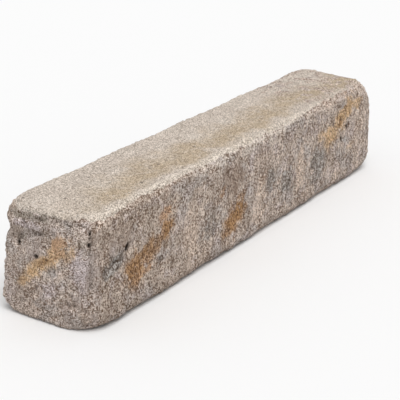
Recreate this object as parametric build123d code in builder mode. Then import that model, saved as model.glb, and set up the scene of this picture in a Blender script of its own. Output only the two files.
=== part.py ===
from build123d import *
from math import ceil, cos, radians, sin, sqrt
import os

# A tumbled concrete walling block. It is cast in one piece, standing on its lower bed, and then rolled in a drum,
# which wears the arrises unevenly, rounds the corners and leaves both beds flat. Millimetres, +Z up.
# The origin is the middle of the lower bed. The long faces look along Y, the ends along X, and the near end is -X.

# Cast size
block_length = 600
block_width = 120
block_height = 120

# Worn arrises: how far the wear reaches in from each long arris, across the bed and down the face beside it
front_foot_on_bed = 12
front_foot_on_face = 13
back_foot_on_bed = 15
back_foot_on_face = 10
back_top_on_bed = 19
back_top_on_face = 18
front_top_on_bed = 12
front_top_on_face = 8
# Where the wear passes the arris, as a share of its reach: 0.5 is a straight bevel, 0.29 a quarter round
arris_fullness = 0.34

# The drum hits the arrises at every turn, so their width rises and falls along the block
ripple_height = 0.8
ripple_pitch = 130
sections_per_ripple = 6

# Each corner wears in its own way: how much wider its long arris gets on the bed and on the face, how far the rounding
# of the end comes in across the block and up or down it, and how far that rounding reaches along the block
near_front_foot_wider_on_bed = 14
near_front_foot_wider_on_face = 18
near_front_foot_across = 18
near_front_foot_up = 1
near_front_foot_reach = 26
near_back_foot_wider_on_bed = 11
near_back_foot_wider_on_face = 5
near_back_foot_across = 6
near_back_foot_up = 5
near_back_foot_reach = 9
near_back_top_wider_on_bed = 21
near_back_top_wider_on_face = 1
near_back_top_across = 28
near_back_top_up = 1
near_back_top_reach = 30
near_front_top_wider_on_bed = 9
near_front_top_wider_on_face = 9
near_front_top_across = 8
near_front_top_up = 8
near_front_top_reach = 14
far_front_foot_wider_on_bed = 7
far_front_foot_wider_on_face = 16
far_front_foot_across = 9
far_front_foot_up = 10
far_front_foot_reach = 19
far_back_foot_wider_on_bed = 15
far_back_foot_wider_on_face = 15
far_back_foot_across = 10
far_back_foot_up = 9
far_back_foot_reach = 18
far_back_top_wider_on_bed = 1
far_back_top_wider_on_face = 4
far_back_top_across = 10
far_back_top_up = 2
far_back_top_reach = 12
far_front_top_wider_on_bed = 16
far_front_top_wider_on_face = 36
far_front_top_across = 8
far_front_top_up = 10
far_front_top_reach = 28
# The arrises get wider over this last stretch of the block
corner_stretch = 52
sections_per_corner = 6

# The ends stand out in their middle: by how much, how far in from the worn arrises, and how rounded that patch is
end_crown = 2.5
end_crown_inset = 20
end_crown_corner = 12

# The tamper leaves a lip at the top of the near end. A broad, shallow groove is worn under it. It goes down towards the
# back corner and round it, at so many degrees, and runs out towards the front and along the back.
groove_height = 100
groove_slope = 10
groove_radius = 14
groove_depth = 3
groove_front_end = -40
groove_back_end = 50
# How far the tool that shapes the groove stands off the block where the groove has run out
groove_run_out = 1

# The lofted body is this much too tall at each bed, for the beds to be struck off flat
bed_allowance = 0.6

half_length = block_length / 2
half_width = block_width / 2

# One row for each long arris, in the order they are met going round the block: which side and bed it is on (-1 is
# front or foot), its reach on the bed and on the face, where its ripple starts, in degrees, and its two corners
arrises = [
    (
        (-1, -1), front_foot_on_bed, front_foot_on_face, 340,
        (near_front_foot_wider_on_bed, near_front_foot_wider_on_face, near_front_foot_across, near_front_foot_up, near_front_foot_reach),
        (far_front_foot_wider_on_bed, far_front_foot_wider_on_face, far_front_foot_across, far_front_foot_up, far_front_foot_reach),
    ),
    (
        (1, -1), back_foot_on_bed, back_foot_on_face, 100,
        (near_back_foot_wider_on_bed, near_back_foot_wider_on_face, near_back_foot_across, near_back_foot_up, near_back_foot_reach),
        (far_back_foot_wider_on_bed, far_back_foot_wider_on_face, far_back_foot_across, far_back_foot_up, far_back_foot_reach),
    ),
    (
        (1, 1), back_top_on_bed, back_top_on_face, 190,
        (near_back_top_wider_on_bed, near_back_top_wider_on_face, near_back_top_across, near_back_top_up, near_back_top_reach),
        (far_back_top_wider_on_bed, far_back_top_wider_on_face, far_back_top_across, far_back_top_up, far_back_top_reach),
    ),
    (
        (-1, 1), front_top_on_bed, front_top_on_face, 300,
        (near_front_top_wider_on_bed, near_front_top_wider_on_face, near_front_top_across, near_front_top_up, near_front_top_reach),
        (far_front_top_wider_on_bed, far_front_top_wider_on_face, far_front_top_across, far_front_top_up, far_front_top_reach),
    ),
]


def corner_points(x, proud, on_bed, on_face, ripple_start, corner):
    """How far in one arris of the outline at x starts, across and up, and how wide it is on its bed and its face."""
    wider_on_bed, wider_on_face, across, up, reach = corner
    # The end rounds over like a quarter of an ellipse
    past_rounding = max(0, min(abs(x) - (half_length - end_crown - reach), reach)) / reach
    rounding = 1 - sqrt(1 - past_rounding**2)
    if proud:
        return across + end_crown_inset, up + end_crown_inset, end_crown_corner, end_crown_corner
    past_stretch = max(0, abs(x) - (half_length - corner_stretch)) / corner_stretch
    ripple = ripple_height * cos(radians(ripple_start + 360 * x / ripple_pitch))
    on_bed += wider_on_bed * past_stretch**2 + ripple
    on_face += wider_on_face * past_stretch**2 + ripple
    return across * rounding, up * rounding, on_bed, on_face


def outline(x, proud=False):
    """The block's outline at x, or the outline of the patch that stands proud in the middle of an end."""
    with BuildSketch(Plane.YZ.offset(x)) as section:
        with BuildLine():
            ends = []
            for (side, bed), on_bed, on_face, ripple_start, near_corner, far_corner in arrises:
                corner = near_corner if x < 0 else far_corner
                across, up, bed_reach, face_reach = corner_points(x, proud, on_bed, on_face, ripple_start, corner)
                y = side * (half_width - across)
                z = block_height + bed_allowance - up if bed > 0 else up - bed_allowance
                points = [
                    (y, z - bed * face_reach),
                    (y - side * arris_fullness * bed_reach, z - bed * arris_fullness * face_reach),
                    (y - side * bed_reach, z),
                ]
                # Every arris is drawn the same way round the block
                if side != bed:
                    points.reverse()
                ThreePointArc(*points)
                ends.append((points[0], points[-1]))
            for (_, last), (following, _) in zip(ends, ends[1:] + ends[:1]):
                Line(last, following)
        make_face()
    return section.sketch


def end_stations(corners):
    """How far from the middle of the block an end's outlines are: close together where its rounding is steepest."""
    longest = max(reach for *_, reach in corners)
    turns = [radians(90 * step / sections_per_corner) for step in range(sections_per_corner + 1)]
    return [half_length - end_crown - longest * (1 - sin(turn)) for turn in turns]


near = end_stations([near_corner for *_, near_corner, _ in arrises])
far = end_stations([far_corner for *_, far_corner in arrises])
spaces = ceil((near[0] + far[0]) / (ripple_pitch / sections_per_ripple))
middle = [-near[0] + (near[0] + far[0]) * i / spaces for i in range(1, spaces)]
stations = [-x for x in reversed(near)] + middle + far

with BuildPart() as block:
    loft([outline(-half_length, True), *[outline(x) for x in stations], outline(half_length, True)], ruled=True)

    # Strike both beds off flat
    split(bisect_by=Plane.XY, keep=Keep.TOP)
    split(bisect_by=Plane.XY.offset(block_height), keep=Keep.BOTTOM)

    # The groove's centre line runs outside the surface, by what the depth leaves of its radius
    clear = groove_radius - groove_depth
    turn_x = end_crown + near_back_top_reach - half_length
    turn_y = half_width - near_back_top_across
    bend = sin(radians(45))
    clear_of_block = groove_radius + groove_run_out
    path = [
        (-half_length - clear_of_block, groove_front_end),
        (-half_length - clear, turn_y / 2),
        (turn_x - bend * (near_back_top_reach + clear), turn_y + bend * (near_back_top_across + clear)),
        (turn_x, half_width + clear),
        (turn_x + groove_back_end, half_width + clear_of_block),
    ]
    # It is drawn on a plane that slopes down to the back, on which lengths across the block are a little longer
    slope = radians(groove_slope)
    groove_plane = Plane(origin=(0, 0, groove_height), x_dir=(1, 0, 0), z_dir=(0, sin(slope), cos(slope)))
    with BuildLine(groove_plane) as groove:
        Spline(*[(x, y / cos(slope)) for x, y in path], tangents=[(0, 1), (1, 0)])
    with BuildSketch(Plane(origin=groove.line @ 0, z_dir=groove.line % 0)):
        Circle(groove_radius)
    sweep(mode=Mode.SUBTRACT)

block.part.label = "walling_block"
os.makedirs("parts", exist_ok=True)
export_step(block.part, "parts/walling_block.step")
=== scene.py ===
import math
import random
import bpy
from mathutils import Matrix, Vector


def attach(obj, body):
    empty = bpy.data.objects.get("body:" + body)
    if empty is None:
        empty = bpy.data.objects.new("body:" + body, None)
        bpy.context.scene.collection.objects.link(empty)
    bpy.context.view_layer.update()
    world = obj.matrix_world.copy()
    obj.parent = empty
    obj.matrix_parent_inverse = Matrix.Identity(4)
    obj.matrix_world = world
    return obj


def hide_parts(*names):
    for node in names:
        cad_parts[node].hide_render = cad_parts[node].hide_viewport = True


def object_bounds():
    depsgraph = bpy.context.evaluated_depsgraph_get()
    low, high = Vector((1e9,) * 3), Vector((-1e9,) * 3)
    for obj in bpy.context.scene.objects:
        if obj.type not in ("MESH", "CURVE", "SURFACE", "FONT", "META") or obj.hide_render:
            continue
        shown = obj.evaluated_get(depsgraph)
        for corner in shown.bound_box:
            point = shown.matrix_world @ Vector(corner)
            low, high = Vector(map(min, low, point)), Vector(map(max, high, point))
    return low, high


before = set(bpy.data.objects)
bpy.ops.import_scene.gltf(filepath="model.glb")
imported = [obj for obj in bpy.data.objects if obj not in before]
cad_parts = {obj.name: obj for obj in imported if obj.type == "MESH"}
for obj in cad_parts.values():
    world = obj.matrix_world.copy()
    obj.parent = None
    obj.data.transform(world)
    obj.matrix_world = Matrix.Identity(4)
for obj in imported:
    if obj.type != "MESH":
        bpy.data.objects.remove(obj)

from types import SimpleNamespace

import bpy
import numpy as np
from mathutils import Matrix, Vector, noise

# Tumbled concrete walling block. The cast body comes from the frame, and this adds its worn surface and colours.
# Lengths in the dictionaries are in millimetres unless they say otherwise. Limits are written as where a thing
# starts to count and where it counts in full, and some go on with its values at these two places.
mm = 0.001
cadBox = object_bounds()
lowCorner, highCorner = np.array(cadBox[0]) / mm, np.array(cadBox[1]) / mm

# the worn surface
wornSurface = {
    "meshSize": 1.8,
    "smoothing": {"strength": 0.5, "rounds": 2},
    # slow unevenness of the faces, how far it goes up and down, and how much of it the flat beds show
    "swell": {"size": 46, "octaves": 2, "seed": 3.1, "reach": 0.45, "onBeds": 0.25},
    # sandy grain everywhere
    "grain": {"size": 5.0, "octaves": 3, "seed": 11.7, "reach": 0.66, "onBeds": 0.4},
    # the lumps stand in patches
    "patches": {"size": 30, "octaves": 2, "seed": 23.9, "limits": (-0.5, 0.5)},
    # small lumps on the long faces, a little taller than wide
    "drag": {
        "size": 6.0, "stretch": 1.6, "seed": 5.5, "depth": 1.6, "sharpness": 1.5, "least": 0.3, "more": 0.9,
        "betweenPatches": 0.4,
    },
    # crumbled lumps on the ends and along the arrises
    "crumble": {
        "size": 5.2, "stretch": 1.0, "seed": 17.2, "depth": 3.8, "sharpness": 1.4, "least": 0.5, "more": 0.7,
        "betweenPatches": 0.4, "onArris": 1.3, "onFarEnd": 0.6,
    },
    # pits left by air and by lost stones, and the share of the places that have one
    "pits": {
        "spacing": 16, "seed": 31.3, "share": 0.3, "radius": 2.0, "floor": 0.0, "depth": 2.6, "least": 0.4,
        "onBeds": 0.2,
    },
    # small chips out of the arrises
    "chips": {
        "spacing": 14, "seed": 53.9, "share": 0.7, "radius": 5.0, "floor": 0.05, "depth": 3.2, "least": 0.3,
    },
    # the height of the relief, in times its usual depth, that has to find room inside the cast box
    "tallest": 1.7,
}

# each octave of the slow noise is half as tall and twice as fine as the one before
octaveFalloff = 1.0
octaveFineness = 2.0
# spreads the middles of the lumps, so that each gets a number of its own
lumpSpread = 7.3


def fade(low, high, value):
    t = np.clip((value - low) / (high - low), 0, 1)
    return t * t * (3 - 2 * t)


def evened(shape):
    return shape - shape.mean()


def slowNoise(points, kind):
    # about -1 to 1
    places = points / kind["size"] + kind["seed"]
    settings = (octaveFalloff, octaveFineness, kind["octaves"])
    return np.array([noise.fractal(Vector(place), *settings) for place in places])


def lumps(points, size, seed, stretch=1.0):
    # 0 on top of a lump, 1 in the gaps between lumps, and a number from 0 to 1 of its own for each lump
    gap = np.empty(len(points))
    own = np.empty(len(points))
    for i, place in enumerate(points / (size, size, size * stretch) + seed):
        distances, middles = noise.voronoi(Vector(place))
        gap[i] = distances[0]
        own[i] = noise.cell(middles[0] * lumpSpread)
    return np.clip(gap, 0, 1), np.clip(own, 0, 1)


def remeshBlock(source):
    work = source.copy()
    work.data = source.data.copy()
    bpy.context.collection.objects.link(work)
    work.modifiers.clear()
    remesh = work.modifiers.new("evenMesh", "REMESH")
    remesh.mode = "VOXEL"
    remesh.voxel_size = wornSurface["meshSize"] * mm
    smooth = work.modifiers.new("evenOut", "SMOOTH")
    smooth.factor = wornSurface["smoothing"]["strength"]
    smooth.iterations = wornSurface["smoothing"]["rounds"]
    bpy.context.view_layer.update()
    evaluated = work.evaluated_get(bpy.context.evaluated_depsgraph_get())
    mesh = bpy.data.meshes.new_from_object(evaluated)
    bpy.data.objects.remove(work)
    return mesh


# how squarely a point has to look along an axis to be on a bed, an end or a long face, and along the nearest
# axis to be off the arrises
facing = {
    "bed": (0.80, 0.97), "end": (0.55, 0.9), "side": (0.6, 0.95), "flat": (0.86, 0.985), "creased": (0.3, 0.6),
}


def findFaces(points, normals):
    # how far each point belongs to each face, from 0 to 1
    acrossX, acrossY, upZ = np.abs(normals).T
    squarest = np.abs(normals).max(axis=1)
    near = points[:, 0] < 0
    return SimpleNamespace(
        bed=fade(*facing["bed"], upZ),
        end=fade(*facing["end"], acrossX),
        side=fade(*facing["side"], acrossY),
        arris=1 - fade(*facing["flat"], squarest),
        near=near,
        creased=near * fade(*facing["creased"], acrossX),
    )


# the near end is crumbled around its smoother middle, most of all low down towards the front
nearEnd = {
    "crumbled": 0.5,
    "lowInFront": {"up": (80, 40), "across": (50, 10), "more": 0.6},
    "middle": {"y": 6, "z": 76, "narrower": 0.9, "lean": 0.35, "edge": (30, 18), "smoothness": 0.85},
    "middleWobble": {"size": 20, "octaves": 2, "seed": 8.8, "reach": 6},
}


def crumbledEnd(points):
    _, y, z = points.T
    middle, wobble, lowInFront = nearEnd["middle"], nearEnd["middleWobble"], nearEnd["lowInFront"]
    across, up = y - middle["y"], z - middle["z"]
    away = np.hypot(across * middle["narrower"] + up * middle["lean"], up)
    away += wobble["reach"] * slowNoise(points, wobble)
    smooth = middle["smoothness"] * fade(*middle["edge"], away)
    more = lowInFront["more"] * fade(*lowInFront["up"], z) * fade(*lowInFront["across"], y)
    return (nearEnd["crumbled"] + more) * (1 - smooth)


# a smoother band runs up beside the near front arris
smoothBand = {
    "x": -288, "halfWidth": (11, 4), "across": (-40, -52), "top": (112, 102), "foot": (14, 30),
    "smoothness": 0.65,
}


def smootherBand(points, faces):
    x, y, z = points.T
    band = faces.near * fade(*smoothBand["halfWidth"], np.abs(x - smoothBand["x"]))
    band *= fade(*smoothBand["across"], y) * fade(*smoothBand["top"], z) * fade(*smoothBand["foot"], z)
    return smoothBand["smoothness"] * band


def slowRelief(points, faces, kind):
    height = kind["reach"] * evened(slowNoise(points, kind))
    return height * (1 - (1 - kind["onBeds"]) * faces.bed)


def lumpRelief(points, kind):
    gap, own = lumps(points, kind["size"], kind["seed"], kind["stretch"])
    return kind["depth"] * evened(gap ** kind["sharpness"] * (kind["least"] + kind["more"] * own))


def grainyRelief(points, faces):
    relief = slowRelief(points, faces, wornSurface["swell"]) + slowRelief(points, faces, wornSurface["grain"])
    patches, drag, crumble = wornSurface["patches"], wornSurface["drag"], wornSurface["crumble"]
    patchy = fade(*patches["limits"], slowNoise(points, patches))
    relief += lumpRelief(points, drag) * faces.side * (1 - faces.arris) * (drag["betweenPatches"] + patchy)
    rough = faces.end * np.where(faces.near, crumbledEnd(points), crumble["onFarEnd"])
    alongArris = crumble["betweenPatches"] + (1 - crumble["betweenPatches"]) * patchy
    rough = np.maximum(rough, crumble["onArris"] * faces.arris * alongArris)
    relief += lumpRelief(points, crumble) * rough
    return relief * (1 - smootherBand(points, faces))


# a normal leans at least this much along each axis, and a point has at least this share in the faces
leastSlope = 0.02
leastShare = 0.01


def roomOutside(points, normals):
    # how far each point can move out along its normal before it leaves the box of the cast block
    limits = np.where(normals > 0, highCorner, lowCorner)
    slopes = np.where(np.abs(normals) < leastSlope, leastSlope, normals)
    return np.clip(((limits - points) / slopes).min(axis=1), 0, None)


def sunkFaces(points, normals, faces, relief):
    # the relief sinks into the faces that lie against the box, and stays where there is room outside
    flat = 1 - faces.arris
    tallest = np.zeros(len(points))
    shares = np.zeros(len(points))
    for share in (faces.bed, faces.side * flat, faces.end * flat, faces.arris):
        tallest += share * wornSurface["tallest"] * math.sqrt(np.average(relief ** 2, weights=share))
        shares += share
    tallest /= np.maximum(shares, leastShare)
    return np.clip(tallest - roomOutside(points, normals), 0, None)


def strewnDents(points, kind):
    # round dents, one at some of the places of this spacing, some deeper than others
    gap, own = lumps(points, kind["spacing"], kind["seed"])
    kept = (own < kind["share"]) * (kind["least"] + (1 - kind["least"]) * own / kind["share"])
    return kind["depth"] * fade(kind["radius"] / kind["spacing"], kind["floor"], gap) * kept


# hollows that stand out
hollows = [
    {"place": (-240, -60, 74), "radius": 4.0, "depth": 7.5},
    {"place": (-262, -60, 65), "radius": 2.6, "depth": 4.2},
    {"place": (-187, -60, 42), "radius": 2.6, "depth": 3.6},
    {"place": (226, -60, 75), "radius": 3.8, "depth": 7.0},
    {"place": (212, -60, 61), "radius": 3.4, "depth": 6.0},
    {"place": (-299.5, 9, 69.5), "radius": 2.3, "depth": 6.8},
    {"place": (-298.4, 31.5, 79), "radius": 2.8, "depth": 7.0},
    {"place": (-299, -9, 59), "radius": 1.6, "depth": 3.8},
    {"place": (-299, -13, 56), "radius": 1.6, "depth": 3.2},
    {"place": (-298, 22, 101), "radius": 2.2, "depth": 5.0},
    {"place": (-195, 17, 120), "radius": 3.0, "depth": 2.5},
    {"place": (110, 13, 120), "radius": 2.6, "depth": 2.0},
    {"place": (122, 23, 120), "radius": 2.6, "depth": 2.0},
    {"place": (-285, 12, 120), "radius": 3.0, "depth": 2.0},
    {"place": (-294.2, -56, 105.6), "radius": 1.9, "depth": 4.6},
    {"place": (-294.5, -56.4, 100.7), "radius": 1.4, "depth": 3.0},
    {"place": (-295, -55.2, 93.5), "radius": 1.9, "depth": 4.4},
    {"place": (-296, -51, 88.6), "radius": 1.7, "depth": 3.2},
    {"place": (-297, -47, 88.2), "radius": 1.6, "depth": 3.0},
    {"place": (-289.5, -46.5, 6.7), "radius": 3.0, "depth": 3.4},  # a notch in the foot
]
# where a hollow's wall starts and its floor begins, in times its radius; crossed waves make its rim ragged
hollowShape = {"rim": 1.6, "floor": 0.3, "raggedness": 0.25, "waveOverX": (1.7, 2.3), "waveOverY": (1.9, 1.1)}


def namedHollows(points):
    x, y, z = points.T
    (overX, upFirst), (overY, upSecond) = hollowShape["waveOverX"], hollowShape["waveOverY"]
    ragged = np.sin(x * overX + z * upFirst) * np.sin(y * overY + z * upSecond)
    ragged = 1 + hollowShape["raggedness"] * ragged
    depth = np.zeros(len(points))
    for hollow in hollows:
        away = np.linalg.norm(points - np.array(hollow["place"]), axis=1) * ragged
        rim, floor = hollow["radius"] * hollowShape["rim"], hollow["radius"] * hollowShape["floor"]
        depth += hollow["depth"] * fade(rim, floor, away)
    return depth


# creases across the near end, as places (y, z) along them; a depth below zero is a ridge, and dark is how much
# painted shade the crease gets
endCreases = [
    {  # under the lip
        "line": ((54, 107), (30, 108), (8, 109), (-20, 111), (-40, 112), (-58, 111)),
        "width": 7.0, "depth": 1.0, "dark": 0.75,
    },
    {"line": ((36, 99), (20, 101), (0, 103), (-24, 106)), "width": 6.0, "depth": -2.2, "dark": 0.0},
    {  # above the smooth middle
        "line": ((38, 83), (30, 86), (18, 90), (0, 95), (-14, 98)),
        "width": 5.5, "depth": 1.8, "dark": 1.0,
    },
    {  # by the front corner
        "line": ((-57, 106), (-56, 90), (-55, 74), (-54, 44)),
        "width": 4.0, "depth": 1.2, "dark": 0.75,
    },
]
creaseWander = {"size": 9, "octaves": 2, "seed": 41.0, "reach": 1.6}
creaseBreaks = {"size": 11, "octaves": 2, "seed": 71.3, "limits": (-0.4, 0.4), "least": 0.45, "more": 0.9}


def awayFromLine(across, up, line):
    nearest = np.full(len(across), np.inf)
    for (a, b), (c, d) in zip(line, line[1:]):
        along = ((across - a) * (c - a) + (up - b) * (d - b)) / ((c - a) ** 2 + (d - b) ** 2)
        along = np.clip(along, 0, 1)
        nearest = np.minimum(nearest, np.hypot(across - a - along * (c - a), up - b - along * (d - b)))
    return nearest


def creases(points, faces):
    # their depth, and how much painted shade they get
    _, y, z = points.T
    up = z + creaseWander["reach"] * slowNoise(points, creaseWander)
    whole = fade(*creaseBreaks["limits"], slowNoise(points, creaseBreaks))
    broken = faces.creased * (creaseBreaks["least"] + creaseBreaks["more"] * whole)
    depth = np.zeros(len(points))
    darkest = np.zeros(len(points))
    for crease in endCreases:
        share = broken * fade(crease["width"], 0, awayFromLine(y, up, crease["line"]))
        depth += crease["depth"] * share
        darkest = np.maximum(darkest, crease["dark"] * share)
    return depth, darkest


# Stains in the mix. Each patch has its middle (across as x or y, up as z), its half length and half width,
# how far it leans over to the right from upright, in degrees, and its strength. Each tint also says how
# strongly the grains show in it.
tints = [
    {
        "name": "peach", "colour": (0.65, 0.515, 0.415), "grain": 0.5,
        "patches": {
            "front": [
                (-132, 48, 46, 20, 0, 0.85), (-112, 22, 20, 16, 40, 0.6), (10, 45, 42, 18, 15, 0.75),
                (106, 52, 40, 17, 0, 0.9), (258, 62, 38, 26, 0, 0.7), (60, 90, 30, 12, 80, 0.5),
                (-215, 95, 14, 8, 70, 0.4), (185, 22, 30, 14, 90, 0.4),
            ],
            "end": [(-28, 84, 24, 15, 35, 0.8), (-20, 14, 30, 9, 80, 0.4)],
        },
    },
    {
        "name": "brown", "colour": (0.365, 0.275, 0.215), "grain": 0.6,
        "patches": {
            "front": [
                (-48, 86, 34, 28, 80, 1.0), (-252, 94, 34, 20, 80, 0.7), (12, 98, 22, 13, 90, 0.6),
                (-195, 30, 26, 10, 70, 0.4),
            ],
            "end": [
                (-38, 26, 26, 14, 80, 0.6), (30, 26, 20, 16, 60, 0.5), (33, 88, 10, 7, 60, 0.6),
                (38, 50, 9, 7, 80, 0.6),
            ],
        },
    },
    {
        "name": "mauve", "colour": (0.56, 0.475, 0.455), "grain": 1.0,
        "patches": {
            "front": [
                (-150, 75, 26, 12, 40, 0.4), (235, 62, 26, 18, 60, 0.5), (-10, 92, 16, 10, 0, 0.6),
                (190, 60, 16, 10, 60, 0.5), (128, 96, 26, 14, 90, 0.5), (-228, 24, 30, 10, 80, 0.5),
            ],
            "end": [(-45, 68, 30, 16, 0, 1.0), (-6, 36, 18, 11, 20, 0.9), (18, 101, 30, 6, 85, 0.9)],
        },
    },
    {
        "name": "smooth grey", "colour": (0.47, 0.385, 0.335), "grain": 0.3,
        "patches": {
            "front": [
                (-262, 84, 24, 14, 60, 0.6), (-289, 60, 56, 9, 0, 0.9), (-232, 84, 20, 10, 70, 0.6),
                (-150, 40, 22, 10, 20, 0.4),
            ],
            "end": [(8, 76, 22, 15, 65, 1.0)],
        },
    },
    # on the near end the olive patches lie in the creases under the lip and above the smooth middle, partly the
    # olive colour and partly painted shade
    {
        "name": "olive", "colour": (0.30, 0.255, 0.20), "grain": 2.0,
        "patches": {
            "front": [(150, 80, 14, 6, 80, 0.4)],
            "end": [(18, 111, 38, 6, 90, 0.9), (26, 87, 16, 5, 70, 0.7), (-50, 95, 11, 6, 90, 0.6)],
        },
    },
    {
        "name": "ochre", "colour": (0.37, 0.21, 0.10), "grain": 1.1,
        "patches": {
            "front": [
                (-228, 45, 27, 24, 72, 1.0), (-206, 59, 28, 16, 66, 1.0), (-178, 70, 21, 14, 45, 1.0),
                (-173, 87, 14, 8, 70, 0.7), (-45, 42, 34, 21, 58, 1.0), (-30, 57, 13, 11, 30, 0.8),
                (-64, 28, 15, 13, 50, 0.7), (-70, 76, 10, 7, 40, 0.5),
            ],
        },
    },
    {
        "name": "pale ochre", "colour": (0.595, 0.405, 0.235), "grain": 0.7,
        "patches": {
            "front": [
                (182, 74, 30, 19, 60, 1.0), (205, 86, 27, 20, 45, 1.0), (226, 100, 26, 17, 65, 1.0),
                (250, 100, 24, 13, 95, 0.9), (156, 79, 14, 9, 80, 0.8), (232, 44, 22, 9, 55, 0.5),
            ],
            "end": [
                (25, 42, 14, 9, 60, 1.0), (13, 54, 18, 10, 50, 1.0), (0, 65, 20, 11, 50, 1.0),
                (-18, 81, 24, 13, 45, 1.0), (-26, 92, 12, 9, 30, 0.7), (-36, 82, 17, 8, 45, 0.75),
            ],
        },
    },
    {
        "name": "orange peach", "colour": (0.56, 0.355, 0.225), "grain": 0.8,
        "patches": {
            "front": [
                (-176, 88, 19, 10, 75, 0.8), (-70, 78, 11, 8, 40, 0.6), (-215, 38, 24, 8, 80, 0.5),
                (20, 66, 14, 7, 20, 0.4),
            ],
            "end": [(-22, 87, 20, 12, 38, 0.8)],
        },
    },
    {
        "name": "dark ochre", "colour": (0.28, 0.155, 0.07), "grain": 1.7,
        "patches": {
            "front": [
                (-212, 57, 20, 7, 75, 0.6), (-168, 73, 13, 8, 60, 0.8), (-46, 46, 24, 9, 60, 0.7),
                (205, 85, 13, 10, 50, 0.8), (216, 104, 10, 5, 80, 0.6), (-213, 60, 15, 10, 60, 0.7),
            ],
            "end": [(-2, 67, 14, 5, 48, 0.8), (16, 54, 9, 6, 50, 0.6)],
        },
    },
]
charcoalPatches = {
    "front": [
        (-93, 44, 30, 20, 10, 0.72), (32, 60, 22, 15, 20, 0.9), (70, 46, 28, 22, 60, 1.0),
        (148, 48, 30, 24, 30, 0.95), (-264, 64, 24, 14, 60, 1.0), (-185, 42, 16, 6, 60, 0.7),
        (216, 58, 16, 6, 100, 0.8), (110, 98, 22, 8, 90, 0.4), (15, 15, 30, 7, 90, 0.4),
    ],
    "end": [(-10, 57, 10, 8, 20, 0.65)],
}

# The back and the far end aren't seen in the photograph. They get patches of the same kinds, strewn at random:
# how many on the back and on the far end, and their usual half length and half width.
strewn = {
    "peach": (7, 2, 34, 17),
    "brown": (5, 2, 28, 14),
    "mauve": (6, 3, 24, 12),
    "smooth grey": (5, 2, 22, 11),
    "olive": (2, 1, 16, 6),
    "pale ochre": (4, 1, 24, 12),
    "orange peach": (4, 1, 18, 9),
    "dark ochre": (2, 1, 14, 7),
    "charcoal": (7, 2, 24, 15),
}
# how far from the middle they are strewn, and between which values they vary
strewing = {
    "back": 275, "far end": 45, "up": (15, 105), "scale": (0.6, 1.2), "lean": (0, 80), "strength": (0.5, 1.0),
}
# the ochre on the back is three streaks instead
ochreStreaks = [(205, 58, 34, 15, 62, 1.0), (40, 74, 26, 12, 50, 1.0), (-170, 50, 38, 16, 70, 1.0)]


def strewPatches(luck, name):
    onBack, onFarEnd, length, width = strewn[name]
    patches = {}
    for face, count in (("back", onBack), ("far end", onFarEnd)):
        patches[face] = []
        for _ in range(count):
            across, up = luck.uniform(-strewing[face], strewing[face]), luck.uniform(*strewing["up"])
            scale, lean = luck.uniform(*strewing["scale"]), luck.uniform(*strewing["lean"])
            strength = luck.uniform(*strewing["strength"])
            patches[face].append((across, up, length * scale, width * scale, lean, strength))
    return patches


luck = random.Random(5)
for tint in tints:
    if tint["name"] == "ochre":
        tint["patches"]["back"] = ochreStreaks
    else:
        tint["patches"].update(strewPatches(luck, tint["name"]))
charcoalPatches.update(strewPatches(luck, "charcoal"))

# each face: where it lies on which axis, which coordinate runs across it, and which way is right on it
faceFrames = {
    "front": {"axis": 1, "at": lowCorner[1], "across": 0, "right": 1},
    "back": {"axis": 1, "at": highCorner[1], "across": 0, "right": -1},
    "end": {"axis": 0, "at": lowCorner[0], "across": 1, "right": -1},
    "far end": {"axis": 0, "at": highCorner[0], "across": 1, "right": 1},
}
# how deep a patch goes, where it fades out, in times its half size, and the noise that frays it
patchShape = {"depth": 22, "edge": (1.2, 0.35)}
patchFray = {"size": 11, "octaves": 4, "seed": 91.0, "reach": 0.4}


def patchMask(points, patches, frayed):
    # the strongest of all the patches at each point
    mask = np.zeros(len(points))
    for face, places in patches.items():
        side = faceFrames[face]
        inwards = (points[:, side["axis"]] - side["at"]) / patchShape["depth"]
        for across, up, length, width, lean, strength in places:
            lean = math.radians(lean)
            sideways = (points[:, side["across"]] - across) * side["right"]
            upwards = points[:, 2] - up
            along = (sideways * math.sin(lean) + upwards * math.cos(lean)) / length
            beside = (sideways * math.cos(lean) - upwards * math.sin(lean)) / width
            away = np.sqrt(along ** 2 + beside ** 2 + inwards ** 2)
            mask = np.maximum(mask, strength * fade(*patchShape["edge"], away + frayed))
    return mask


def readPoints(mesh, what):
    values = np.empty(len(mesh.vertices) * 3)
    mesh.vertices.foreach_get(what, values)
    return values.reshape(-1, 3)


def addValues(mesh, name, values):
    attribute = mesh.attributes.new(name, "FLOAT", "POINT")
    attribute.data.foreach_set("value", values.astype(np.float32))


def stainMesh(mesh, points):
    frayed = patchFray["reach"] * slowNoise(points, patchFray)
    for tint in tints:
        addValues(mesh, tint["name"], patchMask(points, tint["patches"], frayed))
    addValues(mesh, "charcoal", patchMask(points, charcoalPatches, frayed))


def wearMesh(mesh, points, normals):
    faces = findFaces(points, normals)
    relief = grainyRelief(points, faces)
    pits, chips = wornSurface["pits"], wornSurface["chips"]
    creased, darkest = creases(points, faces)
    depth = relief + strewnDents(points, pits) * (1 - (1 - pits["onBeds"]) * faces.bed)
    depth += strewnDents(points, chips) * faces.arris + namedHollows(points) + creased
    moved = points - normals * (depth + sunkFaces(points, normals, faces, relief))[:, None]
    mesh.vertices.foreach_set("co", (np.clip(moved, lowCorner, highCorner) * mm).ravel())
    # for the shade that gathers in the creases and wherever the surface lies deep
    addValues(mesh, "crease", darkest)
    addValues(mesh, "hollow", depth)
    mesh.update()


print("block: even mesh")
blockMesh = remeshBlock(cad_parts["walling_block"])
blockMesh.name = "wallingBlockWorn"
points, normals = readPoints(blockMesh, "co") / mm, readPoints(blockMesh, "normal")
print("block: stains and worn surface on", len(points), "points")
stainMesh(blockMesh, points)
wearMesh(blockMesh, points, normals)
block = bpy.data.objects.new("walling_block_worn", blockMesh)
bpy.context.collection.objects.link(block)
for polygon in blockMesh.polygons:
    polygon.use_smooth = True

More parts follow.
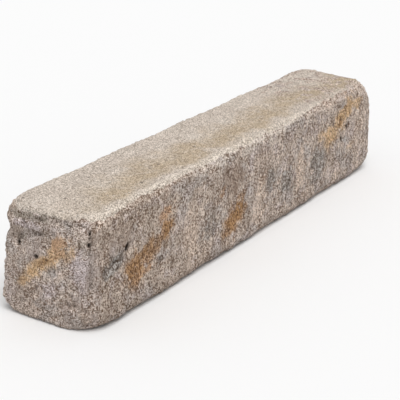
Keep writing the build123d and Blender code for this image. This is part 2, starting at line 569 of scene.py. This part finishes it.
# the colours
concreteLook = {
    "bed": (0.535, 0.47, 0.415),
    "bedTan": (0.45, 0.365, 0.27),
    "bedPale": (0.60, 0.54, 0.48),
    "side": (0.53, 0.435, 0.365),
    "sideNear": (0.46, 0.37, 0.30),
    "sideLow": (0.40, 0.32, 0.26),
    "end": (0.565, 0.465, 0.395),
    # shade is painted shade for the hollows, creases and dark specks, and also the colour of the dark clots in
    # the charcoal; hole is a painted near-black shadow for the deepest hollows and the black specks
    "shade": (0.13, 0.10, 0.08),
    "hole": (0.025, 0.018, 0.015),
    "white": (0.80, 0.76, 0.71),
    # cream: the pale bands at the upper arrises, pale dust and partly a painted highlight where they round
    # towards the light
    "cream": (0.67, 0.60, 0.525),
    "blueGrey": (0.38, 0.35, 0.32),
    "roughness": (0.82, 0.96),
    "specular": 0.25,
    # shares of the grains, the wide mottle, the fine mottle and the upright streaks in the tone of each grain
    "sideGrains": {"shares": (1.9, 1.0, 0.6, 1.8), "dark": (0.38, 0.31, 0.26), "light": (1.63, 1.69, 1.76)},
    "bedGrains": {"shares": (1.9, 0.0, 0.9, 0.0), "dark": (0.55, 0.52, 0.48), "light": (1.49, 1.48, 1.47)},
}


def put(tree, kind, values=None, **settings):
    node = tree.nodes.new(kind)
    for name, value in settings.items():
        setattr(node, name, value)
    for name, value in (values or {}).items():
        if isinstance(value, bpy.types.NodeSocket):
            tree.links.new(value, node.inputs[name])
        else:
            node.inputs[name].default_value = value
    return node


def maths(tree, operation, first, *others):
    if not others:
        return put(tree, "ShaderNodeMath", {0: first}, operation=operation).outputs[0]
    for other in others:
        first = put(tree, "ShaderNodeMath", {0: first, 1: other}, operation=operation).outputs[0]
    return first


def vectors(tree, operation, place, by):
    return put(tree, "ShaderNodeVectorMath", {0: place, 1: by}, operation=operation).outputs[0]


def ramp(tree, value, low, high, toLow=0.0, toHigh=1.0):
    node = put(
        tree, "ShaderNodeMapRange",
        {"Value": value, "From Min": low, "From Max": high, "To Min": toLow, "To Max": toHigh},
        interpolation_type="SMOOTHSTEP",
    )
    return node.outputs["Result"]


def between(tree, mask, without, within):
    return ramp(tree, mask, 0, 1, without, within)


def blendColours(tree, factor, a, b, way="MIX"):
    a, b = (colour if isinstance(colour, bpy.types.NodeSocket) else (*colour, 1) for colour in (a, b))
    return put(tree, "ShaderNodeMix", {0: factor, 6: a, 7: b}, data_type="RGBA", blend_type=way).outputs[2]


def noiseAt(tree, place, size, detail, roughness):
    return put(
        tree, "ShaderNodeTexNoise",
        {"Vector": place, "Scale": 1 / size, "Detail": detail, "Roughness": roughness},
    ).outputs[0]


def attributeOf(tree, name):
    return put(tree, "ShaderNodeAttribute", attribute_name=name).outputs["Fac"]


def newGroup(name, inputs, output):
    group = bpy.data.node_groups.new(name, "ShaderNodeTree")
    group.interface.new_socket("Place", in_out="INPUT", socket_type="NodeSocketVector")
    for label in inputs:
        socket = group.interface.new_socket(label, in_out="INPUT", socket_type="NodeSocketFloat")
        socket.default_value = 1.0
    group.interface.new_socket(output, in_out="OUTPUT", socket_type="NodeSocketFloat")
    return group, group.nodes.new("NodeGroupInput"), group.nodes.new("NodeGroupOutput")


def makeGrainsGroup():
    # packed grains, each with a tone of its own from 0 to 1
    group, given, out = newGroup("grains", ["Size"], "Tone")
    scale = maths(group, "DIVIDE", 1.0, given.outputs["Size"])
    cells = put(group, "ShaderNodeTexVoronoi", {"Vector": given.outputs["Place"], "Scale": scale})
    tone = put(group, "ShaderNodeSeparateColor", {0: cells.outputs["Color"]}).outputs[0]
    group.links.new(tone, out.inputs["Tone"])
    return group


# the noises of the mix: the size of their features, their detail and their roughness
mixNoises = {
    "wide": (55, 3, 0.55),
    "clusters": (20, 2, 0.6),
    "patchy": (17, 4, 0.6),
    "speckled": (9, 5, 0.75),
    "mottle": (6, 4, 0.65),
    "ragged": (6, 2, 0.6),
    "streaks": (3.6, 3, 0.55),
}
# heights are squashed to this share where streaks and tall grains are read, which draws them out upwards
streakSquash = 0.18
grainMix = {"size": 0.85, "squash": 0.6, "clotSize": 4.0}
# where the values of a noise usually end, and where its middle does
usualNoise = (0.3, 0.7)
middleNoise = (0.36, 0.64)
# the edges between the faces wander by this much, and the ends start this far from the middle of the block
edgeWander = 1.1
endStarts = (288, 297)
# the edges of the stains break up among the grains
stainEdges = {"ragged": (-0.5, 0.3), "limits": (-0.15, 0.85), "uneven": (0.35, 0.6, 0.8, 1.0)}


def wandering(tree, noiseValue, reach):
    return ramp(tree, noiseValue, *usualNoise, -reach, reach)


def readMix(tree):
    # the place on the block in mm, the noises and grains there, and whether that is on an end
    place = put(tree, "ShaderNodeTexCoord").outputs["Object"]
    place = put(tree, "ShaderNodeVectorMath", {0: place, "Scale": 1 / mm}, operation="SCALE").outputs[0]
    mix = SimpleNamespace(place=place)
    mix.x, mix.y, mix.z = put(tree, "ShaderNodeSeparateXYZ", {0: place}).outputs
    squashed = vectors(tree, "MULTIPLY", place, (1, 1, streakSquash))
    for name, noiseKind in mixNoises.items():
        setattr(mix, name, noiseAt(tree, squashed if name == "streaks" else place, *noiseKind))
    mix.wander = wandering(tree, mix.mottle, edgeWander)
    mix.onEnd = ramp(tree, maths(tree, "ABSOLUTE", maths(tree, "ADD", mix.x, mix.wander)), *endStarts)

    group = makeGrainsGroup()

    def grainsAt(where, size):
        return put(tree, "ShaderNodeGroup", {"Place": where, "Size": size}, node_tree=group).outputs["Tone"]

    # round grains on the ends, taller ones elsewhere
    tallTone = grainsAt(vectors(tree, "MULTIPLY", place, (1, 1, grainMix["squash"])), grainMix["size"])
    rounder = maths(tree, "SUBTRACT", grainsAt(place, grainMix["size"]), tallTone)
    mix.grains = maths(tree, "ADD", tallTone, maths(tree, "MULTIPLY", rounder, mix.onEnd))
    mix.clots = grainsAt(place, grainMix["clotSize"])
    mix.fray = ramp(tree, mix.ragged, *usualNoise, *stainEdges["ragged"])
    mix.uneven = ramp(tree, mix.patchy, *stainEdges["uneven"])
    return mix


def stainMask(tree, mix, name):
    mask = attributeOf(tree, name)
    edge = ramp(tree, maths(tree, "ADD", mask, mix.fray), *stainEdges["limits"])
    return maths(tree, "MULTIPLY", mask, edge, mix.uneven)


# Where the pale bed ends, as a height. Over the long faces its steps along the block add up, with a wobble on
# top, and over the ends it has one step across. Further in from the arrises everything counts as higher.
bedEdge = {
    "alongSides": ((-270, -220, 114.5, 117.0), (100, 180, 0, 4.6), (-292, -278, 3.5, 0)),
    "wobble": (0.35, 0.65, 1.4, -1.4),
    "acrossEnds": (-52, -28, 121.5, 114.5),
    "softness": (-0.4, 0.9),
    "inFromSides": (60, 50, 0, 2.5),
    "inFromEnds": (300, 290),
}


def bedMask(tree, mix):
    inFromSides = ramp(tree, maths(tree, "ABSOLUTE", mix.y), *bedEdge["inFromSides"])
    inFromEnds = ramp(tree, maths(tree, "ABSOLUTE", mix.x), *bedEdge["inFromEnds"])
    height = maths(tree, "ADD", mix.z, maths(tree, "MULTIPLY", inFromSides, inFromEnds), mix.wander)
    steps = [ramp(tree, mix.x, *step) for step in bedEdge["alongSides"]]
    sideEdge = maths(tree, "ADD", *steps, ramp(tree, mix.patchy, *bedEdge["wobble"]))
    endEdge = ramp(tree, mix.y, *bedEdge["acrossEnds"])
    change = maths(tree, "MULTIPLY", maths(tree, "SUBTRACT", endEdge, sideEdge), mix.onEnd)
    edge = maths(tree, "ADD", sideEdge, change)
    return ramp(tree, maths(tree, "SUBTRACT", height, edge), *bedEdge["softness"])


# the bed: a tan lane along it, as the press leaves it, and a cream band beside the front arris, pale dust with a
# painted highlight
bedLanes = {
    "paleSpots": (0.4, 0.65, 0, 0.5),
    "tanFront": (-54, -30),
    "tanBack": (16, -18),
    "tanWander": 14,
    "tanStart": (-280, -190, 0.2, 1.0),
    "tanStartWander": 40,
    "tanSpots": (0.25, 0.6, 0.5, 1.0),
    "creamAcross": (-44, -54),
    "creamAlong": (-80, 60, 0.65, 0.4),
}


def bedColour(tree, mix):
    look = concreteLook
    lane = maths(tree, "ADD", mix.y, wandering(tree, mix.wide, bedLanes["tanWander"]))
    along = maths(tree, "ADD", mix.x, wandering(tree, mix.wide, bedLanes["tanStartWander"]))
    tan = maths(
        tree, "MULTIPLY",
        ramp(tree, lane, *bedLanes["tanFront"]),
        ramp(tree, lane, *bedLanes["tanBack"]),
        ramp(tree, along, *bedLanes["tanStart"]),
        ramp(tree, mix.patchy, *bedLanes["tanSpots"]),
    )
    colour = blendColours(tree, ramp(tree, mix.wide, *bedLanes["paleSpots"]), look["bed"], look["bedPale"])
    colour = blendColours(tree, tan, colour, look["bedTan"])
    creamAcross = ramp(tree, maths(tree, "ADD", mix.y, mix.wander), *bedLanes["creamAcross"])
    cream = maths(tree, "MULTIPLY", creamAcross, ramp(tree, mix.x, *bedLanes["creamAlong"]))
    return blendColours(tree, cream, colour, look["cream"])


# the worn faces: a darker near end, a darker foot, and a pale band under the upper arrises, wear with a painted
# highlight
sideLanes = {
    "fromNearEnd": (-280, 60),
    "foot": (55, 10, 0, 0.45),
    "footWander": 20,
    "rubAndHighlightUp": (98, 112, 0, 0.45),
    "rubAndHighlightAlong": (150, 80),
}
# slow drifts of tint over them, from where to where the noise counts, and how far the tint gets
drifts = [
    {"colour": (0.61, 0.49, 0.405), "size": 30, "limits": (0.50, 0.66, 0, 0.7)},  # peach
    {"colour": (0.44, 0.385, 0.35), "size": 26, "limits": (0.50, 0.66, 0, 0.7)},  # grey
    {"colour": (0.42, 0.33, 0.265), "size": 34, "limits": (0.52, 0.70, 0, 0.5)},  # brown
    {"colour": (0.56, 0.475, 0.445), "size": 19, "limits": (0.52, 0.68, 0, 0.5)},  # mauve
]
# each drift's noise is read so much further up than that of the one before
driftStep = 200
driftDetail = 2
driftRoughness = 0.5


def plainColour(tree, mix):
    look = concreteLook
    colour = blendColours(tree, ramp(tree, mix.x, *sideLanes["fromNearEnd"]), look["sideNear"], look["side"])
    lowDown = maths(tree, "ADD", mix.z, wandering(tree, mix.wide, sideLanes["footWander"]))
    colour = blendColours(tree, ramp(tree, lowDown, *sideLanes["foot"]), colour, look["sideLow"])
    rubAndHighlightAlong = ramp(tree, maths(tree, "ABSOLUTE", mix.x), *sideLanes["rubAndHighlightAlong"])
    rubAndHighlight = maths(tree, "MULTIPLY", ramp(tree, mix.z, *sideLanes["rubAndHighlightUp"]), rubAndHighlightAlong)
    # the pale band under the upper arrises: wear, and partly a painted highlight where the arris rounds towards
    # the light
    colour = blendColours(tree, rubAndHighlight, colour, look["cream"])
    colour = blendColours(tree, mix.onEnd, colour, look["end"])
    for number, drift in enumerate(drifts, 1):
        moved = vectors(tree, "ADD", mix.place, (0, 0, driftStep * number))
        drifting = noiseAt(tree, moved, drift["size"], driftDetail, driftRoughness)
        colour = blendColours(tree, ramp(tree, drifting, *drift["limits"]), colour, drift["colour"])
    return colour


# how strongly the grains show: in clusters, more towards the far end and on the ends, less as the mottle rises
grainContrast = {
    "clusters": (0.5, 1.35),
    "towardsFarEnd": (-100, 200, 0, 0.2),
    "least": 0.4,
    "onSides": 1.25,
    "onEnds": 1.5,
    "mottled": (1.35, 0.6),
}
# charcoal: grey, broken by dark clots that follow the mottle and the grains
charcoalLook = {
    "grain": 2.1, "grey": 0.85, "clots": 0.85, "clotLimits": (0.56, 0.72), "clotMottle": 0.3, "clotGrain": 0.2,
}


def stainedColour(tree, mix, colour):
    # the stains over the plain colour, and how strongly the grains show in them
    contrast = ramp(tree, mix.clusters, *middleNoise, *grainContrast["clusters"])
    for tint in tints:
        mask = stainMask(tree, mix, tint["name"])
        colour = blendColours(tree, mask, colour, tint["colour"])
        contrast = maths(tree, "ADD", contrast, maths(tree, "MULTIPLY", mask, tint["grain"] - 1))
    contrast = maths(tree, "ADD", contrast, ramp(tree, mix.x, *grainContrast["towardsFarEnd"]))
    contrast = maths(
        tree, "MULTIPLY",
        maths(tree, "MAXIMUM", contrast, grainContrast["least"]),
        between(tree, mix.onEnd, grainContrast["onSides"], grainContrast["onEnds"]),
        ramp(tree, mix.mottle, *middleNoise, *grainContrast["mottled"]),
    )
    contrast = maths(tree, "ADD", contrast, maths(tree, "MULTIPLY", mix.charcoal, charcoalLook["grain"] - 1))

    byMottle, byGrain = charcoalLook["clotMottle"], charcoalLook["clotGrain"]
    clots = maths(
        tree, "ADD", mix.clots,
        ramp(tree, mix.mottle, *middleNoise, byMottle, -byMottle),
        between(tree, mix.grains, -byGrain, byGrain),
    )
    clots = ramp(tree, clots, *charcoalLook["clotLimits"])
    clots = maths(tree, "MULTIPLY", mix.charcoal, clots, charcoalLook["clots"])
    grey = between(tree, mix.charcoal, 0, charcoalLook["grey"])
    colour = blendColours(tree, grey, colour, concreteLook["blueGrey"])
    return blendColours(tree, clots, colour, concreteLook["shade"]), contrast


def grainTones(tree, mix, grains, contrast):
    # tones around one half, each with its own share, brought together into a tint from dark to light
    total = 0
    for tone, share in zip((mix.grains, mix.patchy, mix.speckled, mix.streaks), grains["shares"]):
        if share:
            shared = maths(tree, "MULTIPLY", maths(tree, "SUBTRACT", tone, 0.5), share)
            total = maths(tree, "ADD", total, shared)
    total = maths(tree, "ADD", maths(tree, "MULTIPLY", total, contrast), 0.5)
    return blendColours(tree, total, grains["dark"], grains["light"])


# painted shade where the surface lies deep, from this depth to that, a little sooner on the ends, and in the
# creases, and a painted near-black shadow in the deepest hollows
hollowShade = {
    "shade": (1.5, 3.8, 0.0, 0.8), "soonerOnEnds": 0.5, "hole": (3.2, 4.6, 0.0, 0.95),
    "creaseGrain": 1.2, "creaseLimits": (1.35, 0.75, 0.2, 1.0),
}


def shadeHollows(tree, mix, colour):
    hollow = attributeOf(tree, "hollow")
    sooner = between(tree, mix.onEnd, 0, hollowShade["soonerOnEnds"])
    deep = ramp(tree, maths(tree, "ADD", hollow, sooner), *hollowShade["shade"])
    broken = maths(tree, "ADD", mix.mottle, maths(tree, "MULTIPLY", mix.grains, hollowShade["creaseGrain"]))
    broken = ramp(tree, broken, *hollowShade["creaseLimits"])
    deep = maths(tree, "MAXIMUM", deep, maths(tree, "MULTIPLY", attributeOf(tree, "crease"), broken))
    colour = blendColours(tree, deep, colour, concreteLook["shade"])
    return blendColours(tree, ramp(tree, hollow, *hollowShade["hole"]), colour, concreteLook["hole"])


# specks: how far apart their places lie, how many of these have one, and how strongly they show; there are
# more dark ones in the charcoal
# the dark and black specks are small pits, dented into the fine relief, and their dark is painted shade
specks = {
    "round": (0.26, 0.12),
    "dark": {"spacing": 5.0, "share": 0.16, "inCharcoal": 0.5, "onSides": 0.8, "onBeds": 0.6},
    "black": {"spacing": 9.0, "share": 0.06, "onSides": 0.95, "onBeds": 0.6},
    "white": {"spacing": 4.4, "share": 0.2, "strength": 0.6, "shift": (31, 17, 53)},
}


def makeSpecksGroup():
    # small round specks, one in some of the cells of this spacing
    group, given, out = newGroup("specks", ["Spacing", "Share"], "Mask")
    scale = maths(group, "DIVIDE", 1.0, given.outputs["Spacing"])
    cells = put(group, "ShaderNodeTexVoronoi", {"Vector": given.outputs["Place"], "Scale": scale})
    own = put(group, "ShaderNodeSeparateColor", {0: cells.outputs["Color"]}).outputs[1]
    chosen = maths(group, "LESS_THAN", own, given.outputs["Share"])
    mask = maths(group, "MULTIPLY", ramp(group, cells.outputs["Distance"], *specks["round"]), chosen)
    group.links.new(mask, out.inputs["Mask"])
    return group


def addSpecks(tree, mix, colour):
    # the colour with its specks, and where the dark and black ones are
    dark, black, white = specks["dark"], specks["black"], specks["white"]
    group = makeSpecksGroup()

    def specksAt(where, spacing, share):
        values = {"Place": where, "Spacing": spacing, "Share": share}
        return put(tree, "ShaderNodeGroup", values, node_tree=group).outputs["Mask"]

    def shown(mask, kind):
        return maths(tree, "MULTIPLY", mask, between(tree, mix.onBed, kind["onSides"], kind["onBeds"]))

    darkShare = between(tree, mix.charcoal, dark["share"], dark["inCharcoal"])
    darkMask = specksAt(mix.place, dark["spacing"], darkShare)
    blackMask = specksAt(mix.place, black["spacing"], black["share"])
    whiteMask = specksAt(vectors(tree, "ADD", mix.place, white["shift"]), white["spacing"], white["share"])
    whiteMask = maths(tree, "MULTIPLY", whiteMask, white["strength"])
    colour = blendColours(tree, whiteMask, colour, concreteLook["white"])
    colour = blendColours(tree, shown(darkMask, dark), colour, concreteLook["shade"])
    colour = blendColours(tree, shown(blackMask, black), colour, concreteLook["hole"])
    return colour, maths(tree, "MAXIMUM", darkMask, blackMask)


# fine relief: its depth, the shares of the fine mottle and the grains in it, and how much of it the beds show
fineRelief = {"depth": 0.6, "speckled": 2.0, "grains": 0.4, "onBeds": 0.4}


def fineNormal(tree, mix, dots):
    height = maths(
        tree, "ADD",
        maths(tree, "MULTIPLY", mix.speckled, fineRelief["speckled"]),
        maths(tree, "MULTIPLY", mix.grains, fineRelief["grains"]),
    )
    height = maths(tree, "MULTIPLY", height, between(tree, mix.onBed, 1.0, fineRelief["onBeds"]))
    height = maths(tree, "SUBTRACT", height, dots)
    values = {"Height": height, "Strength": 1.0, "Distance": fineRelief["depth"] * mm}
    return put(tree, "ShaderNodeBump", values).outputs["Normal"]


def makeConcrete():
    look = concreteLook
    material = bpy.data.materials.new("tumbledConcrete")
    material.use_nodes = True
    tree = material.node_tree
    surface = tree.nodes["Principled BSDF"]
    mix = readMix(tree)
    mix.onBed = bedMask(tree, mix)
    mix.charcoal = stainMask(tree, mix, "charcoal")
    # every grain has its own tone: strong on the worn faces, fine on the beds
    worn, contrast = stainedColour(tree, mix, plainColour(tree, mix))
    worn = blendColours(tree, 1.0, worn, grainTones(tree, mix, look["sideGrains"], contrast), "MULTIPLY")
    bedTones = grainTones(tree, mix, look["bedGrains"], 1.0)
    bed = blendColours(tree, 1.0, bedColour(tree, mix), bedTones, "MULTIPLY")
    colour = shadeHollows(tree, mix, blendColours(tree, mix.onBed, worn, bed))
    colour, dots = addSpecks(tree, mix, colour)
    tree.links.new(colour, surface.inputs["Base Color"])
    roughness = ramp(tree, mix.mottle, *usualNoise, *look["roughness"])
    tree.links.new(roughness, surface.inputs["Roughness"])
    tree.links.new(fineNormal(tree, mix, dots), surface.inputs["Normal"])
    surface.inputs["Specular IOR Level"].default_value = look["specular"]
    return material


print("block: colours")
concrete = makeConcrete()
blockMesh.materials.clear()
blockMesh.materials.append(concrete)
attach(block, "root")
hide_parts("walling_block")

# the studio
studio = {
    "floorSize": 12.0,  # m
    "floorColour": (0.93, 0.93, 0.93),
    "floorBounce": (0.55, 0.55, 0.55),
    "sky": 0.55,
    "skySeen": 1.0,
    "key": {"strength": 1.7, "spread": 35, "elevation": 66, "azimuth": -35},
}


def direction(azimuth, elevation):
    # from the block, by angles in degrees; 0 and 0 is straight out of the front
    azimuth, elevation = math.radians(azimuth), math.radians(elevation)
    out = math.cos(elevation)
    return Vector((math.sin(azimuth) * out, -math.cos(azimuth) * out, math.sin(elevation)))


def seenByCamera(tree):
    # seen straight, in a gloss or through glass
    rays = put(tree, "ShaderNodeLightPath").outputs
    return maths(tree, "MAXIMUM", rays["Is Camera Ray"], rays["Is Glossy Ray"], rays["Is Transmission Ray"])


def makeFloor():
    size = studio["floorSize"] / 2
    corners = [(-size, -size, 0), (size, -size, 0), (size, size, 0), (-size, size, 0)]
    mesh = bpy.data.meshes.new("floor")
    mesh.from_pydata(corners, [], [(0, 1, 2, 3)])
    floor = bpy.data.objects.new("floor", mesh)
    bpy.context.collection.objects.link(floor)
    material = bpy.data.materials.new("paleFloor")
    material.use_nodes = True
    tree = material.node_tree
    surface = tree.nodes["Principled BSDF"]
    surface.inputs["Roughness"].default_value = 1.0
    surface.inputs["Specular IOR Level"].default_value = 0.0
    colour = blendColours(tree, seenByCamera(tree), studio["floorBounce"], studio["floorColour"])
    tree.links.new(colour, surface.inputs["Base Color"])
    mesh.materials.append(material)


def makeLight():
    world = bpy.data.worlds.new("studioSky")
    bpy.context.scene.world = world
    world.use_nodes = True
    tree = world.node_tree
    sky = tree.nodes["Background"]
    strength = between(tree, seenByCamera(tree), studio["sky"], studio["skySeen"])
    tree.links.new(strength, sky.inputs["Strength"])
    sky.inputs["Color"].default_value = (1, 1, 1, 1)
    key = studio["key"]
    lamp = bpy.data.lights.new("keyLight", "SUN")
    lamp.energy = key["strength"]
    lamp.angle = math.radians(key["spread"])
    lampObject = bpy.data.objects.new("keyLight", lamp)
    lampObject.rotation_mode = "QUATERNION"
    lampObject.rotation_quaternion = direction(key["azimuth"], key["elevation"]).to_track_quat("Z", "Y")
    bpy.context.collection.objects.link(lampObject)


# the photograph's viewpoint: angles in degrees, lengths in mm
viewpoint = {
    "azimuth": -56.45,
    "elevation": 20.89,
    "roll": -0.33,
    "distance": 1400,
    "target": (-24.3, 0, 42.0),
    "lens": 110.2,
    "sensor": 36,
}


def makeCamera():
    back = direction(viewpoint["azimuth"], viewpoint["elevation"])
    right = Vector((0, 0, 1)).cross(back).normalized()
    up = back.cross(right)
    roll = math.radians(viewpoint["roll"])
    turnedRight = right * math.cos(roll) + up * math.sin(roll)
    turnedUp = up * math.cos(roll) - right * math.sin(roll)
    data = bpy.data.cameras.new("camera")
    data.lens = viewpoint["lens"]
    data.sensor_width = viewpoint["sensor"]
    camera = bpy.data.objects.new("camera", data)
    place = (Vector(viewpoint["target"]) + back * viewpoint["distance"]) * mm
    axes = Matrix((turnedRight, turnedUp, back)).transposed()
    camera.matrix_world = Matrix.Translation(place) @ axes.to_4x4()
    bpy.context.collection.objects.link(camera)
    bpy.context.scene.camera = camera


print("studio")
makeFloor()
makeLight()
makeCamera()
bpy.context.scene.view_settings.view_transform = "Standard"

bpy.context.view_layer.update()
